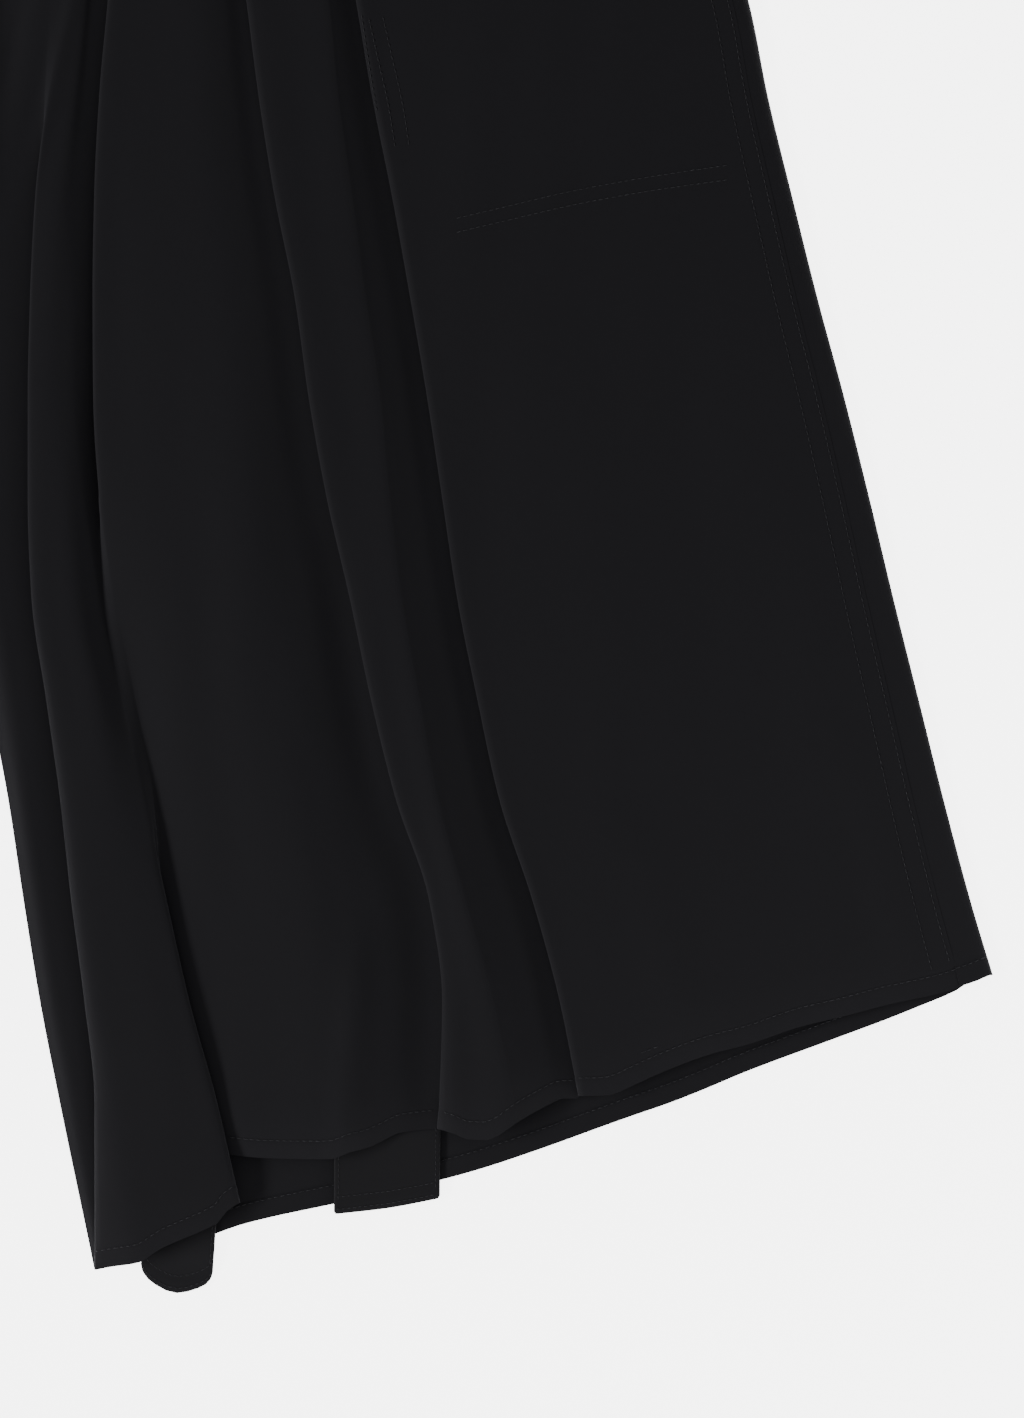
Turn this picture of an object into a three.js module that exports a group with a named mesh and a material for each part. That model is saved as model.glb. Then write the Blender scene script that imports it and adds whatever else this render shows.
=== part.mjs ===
// Hakama trousers laid flat with the front up: two wide pleated legs, a front and a back waistband, and four long
// ties whose free ends are tucked down inside the legs and show below the hems.
//
// Millimetres. +Z is up from the surface that the garment lies on, +Y runs to the waist and +X to the wearer's left.
// Places on the garment are given as x (sideways from its centre line), drop (down from the middle of the front waist
// seam) and z (the height of the middle of the cloth). The last step moves the origin to the middle of the base.

import * as THREE from "three";

// Driving dimensions
const CLOTH = 1.2; // wall of the panels
const TIE_CLOTH = 1.6; // wall of the doubled ties
const BAND_CLOTH = 2.4; // wall of the folded waistbands
const POCKET_CLOTH = 1; // wall of the pocket bags
const SEAM_GAP = 0.3; // between pieces that are sewn together
const LAYER = CLOTH + 0.6; // from the middle of one layer to the next inside a pressed pleat
const TURN = 1.2; // how far a pressed fold takes to turn over
const HALF_WAIST = 265; // from the centre line to the side at the waist seam
const WAIST_DIP = 45; // how far the front waist seam hangs below its ends
const BACK_RISE = 35; // how far the back waist seam is above the front one in the middle
const BAND_HEIGHT = 40;
const PLEAT_DEPTH = { waist: 25, hem: 44 }; // the outer pleat's underlay
const INNER_PLEAT_DEPTH = 24; // the second pleat's underlay
const PANEL_STATIONS = 19; // rows of the front and back panels, which meet at the side
const POCKET_ROWS = 9; // of those rows, how many the pocket bag reaches down
const TIE_STATIONS = 9;
const BAND_STATIONS = 21;
const MIRROR = { left: 1, right: -1 };

// Lines down the left front, from the side to the inside leg. Each row is one fold or crown of the cloth.
//   hem  drop at the hem
//   x, z sideways place and height at the waist, at each drop in DROPS, and at the hem; a line that ends above a
//        drop in DROPS has null there
const DROPS = [80, 200, 300, 400, 500, 600, 700];
const LINES = {
  //                                   waist   80  200  300  400  500  600   700  hem
  sideFold: { hem: 697.5,         x: [   265, 358, 406, 428, 454, 479, 504, null, 531],
                                  z: [   4.8, 4.2, 3.4, 3.2, 3.1, 3.0, 3.0, null, 3.0] },
  outerPleatEdge: { hem: 757.5,   x: [   160, 187, 211, 230, 248, 262, 282,  314, 324],
                                  z: [   8.8, 9.2, 9.6, 9.8, 9.8, 9.6, 9.4,  9.2, 8.6] },
  secondPleatCrease: { hem: 776,  x: [   146, 177, 203, 216, 228, 236, 252,  278, 287],
                                  z: [   8.6, 9.2, 9.8,10.2,10.4,10.4,10.2, 10.0, 9.4] },
  secondPleatEdge: { hem: 774,    x: [   120, 138, 157, 171, 188, 208, 230,  257, 254],
                                  z: [   8.8, 9.6,10.4,10.8,11.0,11.0,10.8, 10.4, 9.6] },
  widePanelMiddle: { hem: 789,    x: [   114, 118, 124, 128, 136, 150, 171,  192, 198],
                                  z: [   8.4, 8.6, 8.8, 9.0, 9.2, 9.4, 9.2,  8.8, 7.6] },
  widePanelLeft: { hem: 788,      x: [   111, 109, 104,  98, 100, 110, 134,  153, 163],
                                  z: [   8.6, 8.8, 9.2, 9.4, 9.2, 8.6, 7.6,  6.8, 6.0] },
  valleyPanelSide: { hem: 790,    x: [   108, 100,  92,  83,  82,  92, 116,  125, 143],
                                  z: [   8.7, 9.0, 9.4, 9.4, 9.3, 7.2, 4.4,  4.4, 4.6] },
  valleyRollSide: { hem: 811,     x: [   116, 109, 101,  92,  89,  84, 107,  131, 155],
                                  z: [   5.0, 4.9, 4.6, 4.2, 3.8, 3.4, 8.0, 11.4,10.4] },
  rollRight: { hem: 825,          x: [   104,  93,  84,  74,  70,  73,  94,  114, 134],
                                  z: [   5.4, 5.6, 5.9, 6.6, 7.6,10.8,13.6, 15.2,13.0] },
  rollCrown: { hem: 838,          x: [    98,  90,  79,  66,  62,  64,  82,   98, 110],
                                  z: [   5.6, 6.0, 6.6, 8.6,10.6,13.0,15.6, 17.0,14.0] },
  rollLeftEdge: { hem: 844.5,     x: [    92,  84,  72,  52,  49,  50,  65,   78,  83],
                                  z: [   5.8, 6.2, 7.2, 9.0,10.6,12.4,14.2, 14.6, 9.0] },
  innerValley: { hem: 843,        x: [    82,  74,  62,  57,  54,  56,  71,   84,  92],
                                  z: [   5.8, 5.6, 4.6, 3.9, 3.8, 4.2, 4.6,  4.8, 4.4] },
  innerRollRight: { hem: 843,     x: [    62,  58,  50,  42,  38,  41,  53,   68,  88],
                                  z: [   6.0, 6.4, 6.8, 7.0, 7.4, 7.6, 7.6,  7.2, 4.6] },
  innerRoll: { hem: 843.5,        x: [    34,  34,  32,  28,  24,  30,  45,   60,  85],
                                  z: [   6.2, 7.0, 7.8, 8.4, 8.8, 8.8, 8.6,  8.2, 4.2] },
  innerEdge: { hem: 844.5,        x: [  0.15,0.15,0.15,0.15,   1,  18,  37,   53,  82],
                                  z: [   5.6, 6.4, 7.0, 7.0, 5.0, 2.3, 2.3,  2.3, 2.3] },
};

// The back panel's hem, from the side to the inside leg.
const BACK_HEM = [
  { x: 531, drop: 697.5 },
  { x: 455, drop: 732 },
  { x: 375, drop: 766.5 },
  { x: 285, drop: 792.5 },
  { x: 202, drop: 812.5 },
  { x: 140, drop: 827 },
  { x: 82, drop: 844 },
];

// The height of the front waistband above the pleats that it holds, from the centre line to the side.
const BAND_PROFILE = [
  { x: 0, z: 6.2 },
  { x: 60, z: 6.4 },
  { x: 92, z: 7.0 },
  { x: 114, z: 8.8 },
  { x: 160, z: 9.2 },
  { x: 205, z: 7.6 },
  { x: HALF_WAIST, z: 5.0 },
];

// The four ties. startX and endX are the middle line at the waist and at the free end; the two ends of the cut edge
// are given by their drops, outer being the side away from the centre line.
const TIES = [
  { name: "tie_back_left", side: "left", width: 53, startX: 233, endX: 228.5, lowered: 0,
    endDrop: { inner: 817, middle: 814, outer: 809 } },
  { name: "tie_front_left", side: "left", width: 36, startX: 186, endX: 123.5, lowered: 1,
    endDrop: { inner: 848, middle: 856.5, outer: 851.5 } },
  { name: "tie_back_right", side: "right", width: 53, startX: 233, endX: 214, lowered: 0,
    endDrop: { inner: 822, middle: 820, outer: 816 } },
  { name: "tie_front_right", side: "right", width: 36, startX: 186, endX: 132, lowered: 0.6,
    endDrop: { inner: 844, middle: 849, outer: 846 } },
];

// How the right leg's cloth has fallen differently from the left one's. Each is a change at the middle of the leg.
const RIGHT_LEG = { pleats: -7, valley: 6, rollHeight: 0.86 };
const PLEAT_LINES = ["outerPleatEdge", "secondPleatCrease", "secondPleatEdge"];
const VALLEY_LINES = ["widePanelLeft", "valleyPanelSide", "valleyRollSide", "rollRight"];

const mix = (a, b, u) => a + (b - a) * u;
const between = (p, q, u, z) => ({ x: mix(p.x, q.x, u), drop: mix(p.drop, q.drop, u), z: z ?? mix(p.z, q.z, u) });
const frontWaist = (x) => -WAIST_DIP * (x / HALF_WAIST) ** 2;
const backWaist = (x) => -BACK_RISE - (WAIST_DIP - BACK_RISE) * (x / HALF_WAIST) ** 2;
const backTop = (x) => (x < HALF_WAIST - 4 ? backWaist(x) : frontWaist(x)); // its last part wraps to the front

// A smooth curve through values at rising places, with no overshoot between them.
function smooth(places, values) {
  const secant = places.slice(1).map((p, i) => (values[i + 1] - values[i]) / (p - places[i]));
  const slope = places.map((p, i) => {
    if (i === 0) return secant[0];
    if (i === secant.length) return secant[i - 1];
    const [a, b] = [secant[i - 1], secant[i]];
    return a * b > 0 ? (2 * a * b) / (a + b) : 0;
  });
  return (at) => {
    const last = places.length - 2;
    const i = Math.min(last, Math.max(0, places.findLastIndex((p) => p <= at)));
    const step = places[i + 1] - places[i];
    const s = Math.min(1, Math.max(0, (at - places[i]) / step));
    const [s2, s3] = [s * s, s * s * s];
    return (
      (2 * s3 - 3 * s2 + 1) * values[i] + (s3 - 2 * s2 + s) * step * slope[i] +
      (3 * s2 - 2 * s3) * values[i + 1] + (s3 - s2) * step * slope[i + 1]
    );
  };
}

// Columns of a table row as a curve over the drop, from the waist to that line's hem.
function overDrop(columns, waist, hem) {
  const places = [waist, ...DROPS, hem];
  const kept = places.map((p, i) => i).filter((i) => columns[i] !== null);
  return smooth(kept.map((i) => places[i]), kept.map((i) => columns[i]));
}

// One line of the front: t is 0 at the waist seam and 1 at the hem.
function lineDown(name, side) {
  const row = LINES[name];
  const waist = frontWaist(row.x[0]);
  const x = overDrop(row.x, waist, row.hem);
  const z = overDrop(row.z, waist, row.hem);
  return (t) => {
    const drop = mix(waist, row.hem, t);
    const point = { x: x(drop), drop, z: z(drop) };
    if (side === "right") {
      const fallen = Math.sin(Math.PI * t);
      if (PLEAT_LINES.includes(name)) point.x += RIGHT_LEG.pleats * fallen;
      if (VALLEY_LINES.includes(name)) point.x += RIGHT_LEG.valley * fallen;
      if (name.startsWith("roll")) point.z = mix(point.z, LINES.innerValley.z.at(-1), 1 - RIGHT_LEG.rollHeight);
    }
    return point;
  };
}

// How much further apart the outer pleat's layers lie where the pocket bag is between them.
const pocketEnd = (POCKET_ROWS - 1) / (PANEL_STATIONS - 1);
const pocketRoom = (t) => (POCKET_CLOTH + SEAM_GAP) * Math.min(1, Math.max(0, (pocketEnd + 0.08 - t) / 0.08));

// The seam that joins front and back lies a little round on the front of the leg, further towards the hem.
const seamInset = (t) => mix(3, 15.5, t);

// A pressed fold that turns over at p. inward is the side on which its two layers lie, rise the height from the
// first layer to the second.
function turn(p, inward, rise) {
  return [
    { x: p.x + inward * TURN, drop: p.drop, z: p.z },
    { x: p.x, drop: p.drop, z: p.z + rise / 2 },
    { x: p.x + inward * TURN, drop: p.drop, z: p.z + rise },
  ];
}

// A pair of folds, p and then q, that overlap where q is further out than p and open into a valley where it isn't.
function overlap(p, q) {
  const closed = Math.min(1, Math.max(0, (q.x - p.x) / (2 * TURN)));
  const rise = Math.min(LAYER, Math.max(-LAYER, 0.4 * (q.z - p.z)));
  const fold = (from, to, share, outwards, lift) => ({
    x: mix(mix(from.x, to.x, share), from.x + outwards * TURN, closed),
    drop: from.drop,
    z: mix(mix(from.z, to.z, share), from.z + lift, closed),
  });
  return [
    { x: p.x + TURN, drop: p.drop, z: p.z },
    fold(p, q, 0.12, 0, rise / 2),
    fold(p, q, 0.36, 1, rise),
    fold(q, p, 0.36, -1, -rise),
    fold(q, p, 0.12, 0, -rise / 2),
    { x: q.x - TURN, drop: q.drop, z: q.z },
  ];
}

// Half of a pressed pleat on the side panel: its points from the side seam to the pleat's edge.
function sidePanel(lines, t) {
  const side = lines.sideFold(t);
  const seam = { ...side, x: side.x - seamInset(t), drop: side.drop + mix(0, 5.5, t) };
  const edge = lines.outerPleatEdge(t);
  const depth = mix(PLEAT_DEPTH.waist, PLEAT_DEPTH.hem, t);
  const along = (reach) => 1 - reach / (seam.x - edge.x); // share of the way from the seam to the pleat's edge
  return {
    seam,
    edge,
    face: [
      between(seam, edge, 0.3, mix(seam.z, edge.z, 0.42)),
      between(seam, edge, 0.55, mix(seam.z, edge.z, 0.68)),
      between(seam, edge, along(depth + 9), edge.z - 0.7),
    ],
    besideEdge: between(seam, edge, along(2 * TURN), edge.z),
    underlay: { ...between(seam, edge, along(depth)), drop: mix(seam.drop, edge.drop, along(depth)) - 4 * t },
  };
}

// The front's cloth across the leg at t, from the side seam to the inside leg.
function frontSection(lines, t) {
  const p = Object.fromEntries(Object.entries(lines).map(([name, line]) => [name, line(t)]));
  const side = sidePanel(lines, t);
  const edge = side.edge;
  const dropped = LAYER + pocketRoom(t);
  const outerHidden = { ...side.underlay, z: edge.z - dropped };
  const dark = { x: edge.x - 4, drop: edge.drop - 3 * t, z: edge.z - dropped - LAYER };
  const second = p.secondPleatEdge;
  const innerReach = Math.min(INNER_PLEAT_DEPTH, p.secondPleatCrease.x - second.x - 3);
  const innerHidden = { x: second.x + innerReach, drop: second.drop - 6 * t, z: second.z - LAYER };
  const beside = between(second, p.widePanelMiddle, 0.14, 5.4);
  return [
    side.seam,
    ...side.face,
    ...turn(edge, 1, -dropped),
    ...turn(outerHidden, -1, -LAYER),
    dark,
    between(dark, p.secondPleatCrease, 0.62, 5.4),
    p.secondPleatCrease,
    { ...between(p.secondPleatCrease, second, 0.5), drop: mix(p.secondPleatCrease.drop, second.drop, 0.5) + 4 * t },
    ...turn(second, 1, -LAYER),
    ...turn(innerHidden, -1, -LAYER),
    beside,
    between(second, p.widePanelMiddle, 0.5, mix(beside.z, p.widePanelMiddle.z, 0.72)),
    p.widePanelMiddle,
    p.widePanelLeft,
    ...overlap(p.valleyPanelSide, p.valleyRollSide),
    p.rollRight,
    p.rollCrown,
    ...overlap(p.rollLeftEdge, p.innerValley),
    p.innerRollRight,
    p.innerRoll,
    p.innerEdge,
  ];
}

// The pocket bag across its width at t: it hangs from the waist seam, close under the side panel.
function pocketSection(lines, t) {
  const { seam, edge, face, besideEdge } = sidePanel(lines, t);
  const below = CLOTH / 2 + SEAM_GAP + POCKET_CLOTH / 2;
  const last = t === pocketEnd ? between(seam, edge, 0.84, edge.z - 0.5) : besideEdge;
  const first = between(seam, face[0], 0.16);
  return [first, face[0], face[1], face[2], last].map((p) => ({ ...p, z: p.z - below }));
}

// The back's cloth across the leg at t: it starts at the seam on the front of the leg, turns round the side fold and
// lies flat on the surface as far as the inside leg.
function backSection(lines, t) {
  const side = lines.sideFold(t);
  const inner = lines.innerEdge(t);
  const hemAt = smooth(BACK_HEM.map((h) => -h.x), BACK_HEM.map((h) => h.drop));
  const flat = CLOTH / 2;
  const wrapped = seamInset(t) - SEAM_GAP;
  const shares = [0.08, 0.2, 0.35, 0.5, 0.65, 0.8, 0.9, 1];
  return [
    { x: side.x - wrapped, drop: side.drop + mix(0, 5.4, t), z: side.z },
    { x: side.x - TURN, drop: side.drop, z: side.z },
    { x: side.x, drop: side.drop, z: (side.z + flat) / 2 },
    { x: side.x - TURN, drop: side.drop + 0.6 * t, z: flat },
    ...shares.map((u) => {
      const top = backWaist(mix(HALF_WAIST, lines.innerEdge(0).x, u));
      const hem = hemAt(-mix(LINES.sideFold.x.at(-1), LINES.innerEdge.x.at(-1), u));
      return { x: mix(side.x, inner.x, u), drop: mix(top, hem, t), z: flat };
    }),
  ];
}

// A tie across its width at t. It lies on the back panel, and its free end comes down to the surface.
function tieSection(tie, t) {
  const onBack = CLOTH + SEAM_GAP + TIE_CLOTH / 2;
  const x = mix(tie.startX, tie.endX, t);
  const across = [
    { share: -0.5, drop: tie.endDrop.inner },
    { share: 0, drop: tie.endDrop.middle },
    { share: 0.5, drop: tie.endDrop.outer },
  ];
  return across.map((edge) => ({
    x: x + edge.share * tie.width,
    drop: mix(backWaist(tie.startX + edge.share * tie.width), edge.drop, t),
    z: t === 1 ? mix(onBack, TIE_CLOTH / 2, tie.lowered) : onBack,
  }));
}

// A waistband across its height at x, from its lower edge to its upper one.
function bandSection(x, lowerEdge, z) {
  return [0, 0.5, 1].map((u) => ({ x, drop: lowerEdge - SEAM_GAP - u * BAND_HEIGHT, z }));
}

const place = (p, mirror) => new THREE.Vector3(p.x * mirror, -p.drop, p.z);

// A closed wall of cloth about rows of points: rows run down the garment and each holds the points across it.
function wall(rows, thickness) {
  const [down, across] = [rows.length, rows[0].length];
  const normal = (i, j) => {
    const a = rows[Math.min(i + 1, down - 1)][j].clone().sub(rows[Math.max(i - 1, 0)][j]);
    const before = rows[i][Math.max(j - 1, 0)];
    const after = rows[i][Math.min(j + 1, across - 1)];
    const into = rows[i][j].clone().sub(before).normalize();
    const out = after.clone().sub(rows[i][j]).normalize();
    const n = into.clone().add(out).cross(a);
    if (i === 0 || i === down - 1) n.y = 0;
    n.normalize();
    const miter = Math.sqrt((1 + into.dot(out)) / 2) || 1;
    return n.divideScalar(j > 0 && j < across - 1 ? Math.max(miter, 0.75) : 1);
  };
  const points = [];
  for (const sign of [1, -1])
    for (let i = 0; i < down; i++)
      for (let j = 0; j < across; j++) {
        const point = rows[i][j].clone().addScaledVector(normal(i, j), (sign * thickness) / 2);
        point.z = Math.max(point.z, 0); // the surface that the garment lies on
        points.push(point);
      }
  const index = [];
  const at = (face, i, j) => (face * down + i) * across + j;
  const quad = (a, b, c, d) => index.push(a, b, c, a, c, d);
  for (let i = 0; i < down - 1; i++)
    for (let j = 0; j < across - 1; j++) {
      quad(at(0, i, j), at(0, i + 1, j), at(0, i + 1, j + 1), at(0, i, j + 1));
      quad(at(1, i, j), at(1, i, j + 1), at(1, i + 1, j + 1), at(1, i + 1, j));
    }
  for (let i = 0; i < down - 1; i++) {
    quad(at(0, i, 0), at(1, i, 0), at(1, i + 1, 0), at(0, i + 1, 0));
    quad(at(0, i, across - 1), at(0, i + 1, across - 1), at(1, i + 1, across - 1), at(1, i, across - 1));
  }
  for (let j = 0; j < across - 1; j++) {
    quad(at(0, 0, j), at(0, 0, j + 1), at(1, 0, j + 1), at(1, 0, j));
    quad(at(0, down - 1, j), at(1, down - 1, j), at(1, down - 1, j + 1), at(0, down - 1, j + 1));
  }
  const geometry = new THREE.BufferGeometry().setFromPoints(points);
  geometry.setIndex(index);
  return faceOut(geometry);
}

// Turns a closed geometry's faces to point outwards.
function faceOut(geometry) {
  const [p, index] = [geometry.getAttribute("position"), geometry.index.array];
  const corner = (k) => new THREE.Vector3().fromBufferAttribute(p, index[k]);
  let volume = 0;
  for (let k = 0; k < index.length; k += 3) volume += corner(k).dot(corner(k + 1).cross(corner(k + 2)));
  if (volume < 0) for (let k = 0; k < index.length; k += 3) [index[k], index[k + 1]] = [index[k + 1], index[k]];
  geometry.computeVertexNormals();
  return geometry;
}

const stations = (count, from = 0, to = 1) => Array.from({ length: count }, (_, i) => mix(from, to, i / (count - 1)));

const CLOTH_BLACK = new THREE.Color(0.0105, 0.01, 0.0118);
const fabric = (name) => new THREE.MeshStandardMaterial({ name, color: CLOTH_BLACK, roughness: 0.9, metalness: 0 });

function piece(name, rows, thickness, materialName) {
  const mesh = new THREE.Mesh(wall(rows, thickness), fabric(materialName));
  mesh.name = name;
  return mesh;
}

// Rows of a panel down its stations. The top row is moved onto the waist's curve, and the move fades to the hem.
function panelRows(section, count, waist, mirror) {
  const ts = stations(PANEL_STATIONS).slice(0, count);
  const moves = section(0).map((p) => waist(p.x) - p.drop);
  return ts.map((t) => section(t).map((p, j) => place({ ...p, drop: p.drop + (1 - t) * moves[j] }, mirror)));
}

function leg(side) {
  const mirror = MIRROR[side];
  const lines = Object.fromEntries(Object.keys(LINES).map((name) => [name, lineDown(name, side)]));
  const front = panelRows((t) => frontSection(lines, t), PANEL_STATIONS, frontWaist, mirror);
  const back = panelRows((t) => backSection(lines, t), PANEL_STATIONS, backTop, mirror);
  const pocket = panelRows((t) => pocketSection(lines, t), POCKET_ROWS, frontWaist, mirror);
  return [
    piece(`front_${side}`, front, CLOTH, "shell_cloth"),
    piece(`back_${side}`, back, CLOTH, "shell_cloth"),
    piece(`pocket_${side}`, pocket, POCKET_CLOTH, "pocket_cloth"),
  ];
}

function tie(row) {
  const rows = [...stations(TIE_STATIONS, 0, 0.99), 1].map((t) =>
    tieSection(row, t).map((p) => place(p, MIRROR[row.side])));
  return piece(row.name, rows, TIE_CLOTH, "tie_cloth");
}

function waistbands() {
  const height = smooth(BAND_PROFILE.map((b) => b.x), BAND_PROFILE.map((b) => b.z));
  const xs = stations(BAND_STATIONS, -HALF_WAIST, HALF_WAIST);
  const rows = (edge, z) => xs.map((x) => bandSection(x, edge(x), z(Math.abs(x))).map((p) => place(p, 1)));
  return [
    piece("waistband_front", rows(frontWaist, height), BAND_CLOTH, "band_cloth"),
    piece("waistband_back", rows(backWaist, () => BAND_CLOTH / 2), BAND_CLOTH, "band_cloth"),
  ];
}

const garment = new THREE.Group();
garment.add(...leg("left"), ...leg("right"), ...waistbands(), ...TIES.map(tie));

const box = new THREE.Box3().setFromObject(garment);
const centre = box.getCenter(new THREE.Vector3());
garment.position.set(-centre.x, -centre.y, -box.min.z);

export default garment;
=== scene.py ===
"""Hakama trousers laid flat with the front up, as cloth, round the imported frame.

Lengths are millimetres until a mesh is made. A place on the garment is x, sideways from its centre line,
drop, down from the middle of the front waist seam, and z, up from the surface that it lies on. The tables
hold the wearer's left leg, and the right leg is its mirror image with folds that have fallen a little
differently.
"""

import logging
import math
from collections.abc import Callable, Sequence
from dataclasses import dataclass, field
from enum import Enum

import bpy
import numpy as np
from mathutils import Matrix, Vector
from mathutils.bvhtree import BVHTree


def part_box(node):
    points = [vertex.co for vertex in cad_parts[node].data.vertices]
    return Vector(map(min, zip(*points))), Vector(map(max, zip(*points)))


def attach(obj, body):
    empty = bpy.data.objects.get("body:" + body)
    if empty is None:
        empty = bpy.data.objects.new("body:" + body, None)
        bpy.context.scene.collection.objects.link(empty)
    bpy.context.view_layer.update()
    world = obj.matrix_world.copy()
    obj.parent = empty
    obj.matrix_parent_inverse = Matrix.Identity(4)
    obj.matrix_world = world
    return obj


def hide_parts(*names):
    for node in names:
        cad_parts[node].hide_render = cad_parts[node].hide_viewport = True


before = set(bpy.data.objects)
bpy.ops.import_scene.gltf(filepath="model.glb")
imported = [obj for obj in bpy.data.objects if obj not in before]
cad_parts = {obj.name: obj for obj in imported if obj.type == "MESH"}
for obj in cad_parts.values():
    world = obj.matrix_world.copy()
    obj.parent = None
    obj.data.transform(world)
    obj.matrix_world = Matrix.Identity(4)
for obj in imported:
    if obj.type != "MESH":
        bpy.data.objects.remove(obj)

LOG = logging.getLogger("hakama")
MM = 0.001
RIM_ANGLE = math.radians(75)  # edges sharper than this are a cut or sewn rim
LOWEST = 0.02  # the cloth's lowest points above the table
HALF_WAIST = 265.0
WAIST_DIP = 45.0  # how far the middle of the front waist seam lies below its ends
BACK_RISE = 35.0  # how far the middle of the back waist seam lies above the front's
BAND_HEIGHT = 40.0
BAND_SEWN = 3.2  # from a waistband's edges to their topstitching
SEAM_GAP = 0.3  # from a waist seam up to its band
TOP_MARGIN = 10.0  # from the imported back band's highest corner down to its middle
VIEW_MIDDLE = (291.0, 564.5)  # x and drop of the middle of the view
HEM_STITCH = 0.8  # from the top of a hem's turning to its stitching
SIDE_RISE = 0.1  # how steeply the cloth rises in from the side fold
SIDE_SLIP = 5.5  # how far the side seam's hem end lies below the side fold's
BACK_LEVEL = 0.45  # the height of the back panel's middle
SIDE_ROWS = ((5.5, 18.0), (12.5, 27.1))  # from the side fold in to each row of stitches, at waist and hem
X_DROPS = (80, 210, 260, 310, 360, 410, 460, 510, 560, 610, 660, 710, 760)
Z_DROPS = (80, 210, 310, 410, 510, 610, 710)
BLACK = (0.0088, 0.0084, 0.0103)
NAP = (0.32, 0.32, 0.36, 1.0)
WHITE = (1.0, 1.0, 1.0, 1.0)
Number = np.ndarray | float


class Side(Enum):
    """The wearer's side of the garment, with its direction along x."""

    LEFT = 1
    RIGHT = -1

    @property
    def word(self) -> str:
        """The side's name in a piece's name."""
        return self.name.lower()


class Layer(Enum):
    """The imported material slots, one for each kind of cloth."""

    SHELL = "shell_cloth"
    BAND = "band_cloth"
    POCKET = "pocket_cloth"
    TIE = "tie_cloth"


def mix(a: Number, b: Number, share: Number) -> Number:
    """Goes from a to b by a share."""
    return a + (b - a) * share


def ease(x: Number) -> np.ndarray:
    """A smooth step from 0 at 0 to 1 at 1."""
    s = np.clip(x, 0.0, 1.0)
    return s * s * (3.0 - 2.0 * s)


def bump(x: Number, middle: float, width: float) -> np.ndarray:
    """A rounded bump, 1 high, with its middle and half its width at x."""
    return np.exp(-(((x - middle) / width) ** 2))


def blend(s: float, p: np.ndarray, q: np.ndarray, leave: np.ndarray, arrive: np.ndarray) -> np.ndarray:
    """A cubic from p to q.

    Args:
        s: the share of the way.
        p: its start.
        q: its end.
        leave: its slope at p.
        arrive: its slope at q.

    Returns:
        The values there.
    """
    start = (2 * s**3 - 3 * s**2 + 1) * p + (s**3 - 2 * s**2 + s) * leave
    return start + (3 * s**2 - 2 * s**3) * q + (s**3 - s**2) * arrive


def front_waist(x: Number) -> Number:
    """The drop of the front waist seam at x."""
    return -WAIST_DIP * (x / HALF_WAIST) ** 2


def back_waist(x: Number) -> Number:
    """The drop of the back waist seam at x."""
    return -BACK_RISE - (WAIST_DIP - BACK_RISE) * (x / HALF_WAIST) ** 2


@dataclass(frozen=True)
class Run:
    """A smooth curve through values at rising places, with no overshoot between them."""

    places: Sequence[float]
    values: Sequence[float]

    def __call__(self, at: Number) -> np.ndarray:
        """Reads the curve.

        Args:
            at: the places to read it at; beyond its ends it keeps its end values.

        Returns:
            The values there.
        """
        place = np.asarray(self.places, float)
        value = np.asarray(self.values, float)
        secant = np.diff(value) / np.diff(place)
        slope = np.concatenate([secant[:1], secant])
        agree = secant[:-1] * secant[1:] > 0
        total = np.where(agree, secant[:-1] + secant[1:], 1.0)
        slope[1:-1] = np.where(agree, 2 * secant[:-1] * secant[1:] / total, 0.0)
        i = np.clip(np.searchsorted(place, at, side="right") - 1, 0, len(place) - 2)
        step = place[i + 1] - place[i]
        s = np.clip((at - place[i]) / step, 0.0, 1.0)
        return blend(s, value[i], value[i + 1], step * slope[i], step * slope[i + 1])


@dataclass(frozen=True)
class FoldLine:
    """A fold or crown of the cloth that runs down the leg.

    Attributes:
        hem: the drop at its lower end.
        x: its place at the waist, at each of X_DROPS above its hem, and at the hem.
        z: its height at the waist, at each of Z_DROPS above its hem, and at the hem.
    """

    hem: float
    x: tuple[float, ...]
    z: tuple[float, ...]

    def down(self, t: np.ndarray) -> np.ndarray:
        """The line's points.

        Args:
            t: shares of the way from the waist seam to the hem.

        Returns:
            One row of x, drop and z for each share.
        """
        waist = front_waist(self.x[0])
        drop = mix(waist, self.hem, t)
        x = Run((waist, *X_DROPS[: len(self.x) - 2], self.hem), self.x)(drop)
        z = Run((waist, *Z_DROPS[: len(self.z) - 2], self.hem), self.z)(drop)
        return np.stack([x, drop, z], axis=1)


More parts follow.
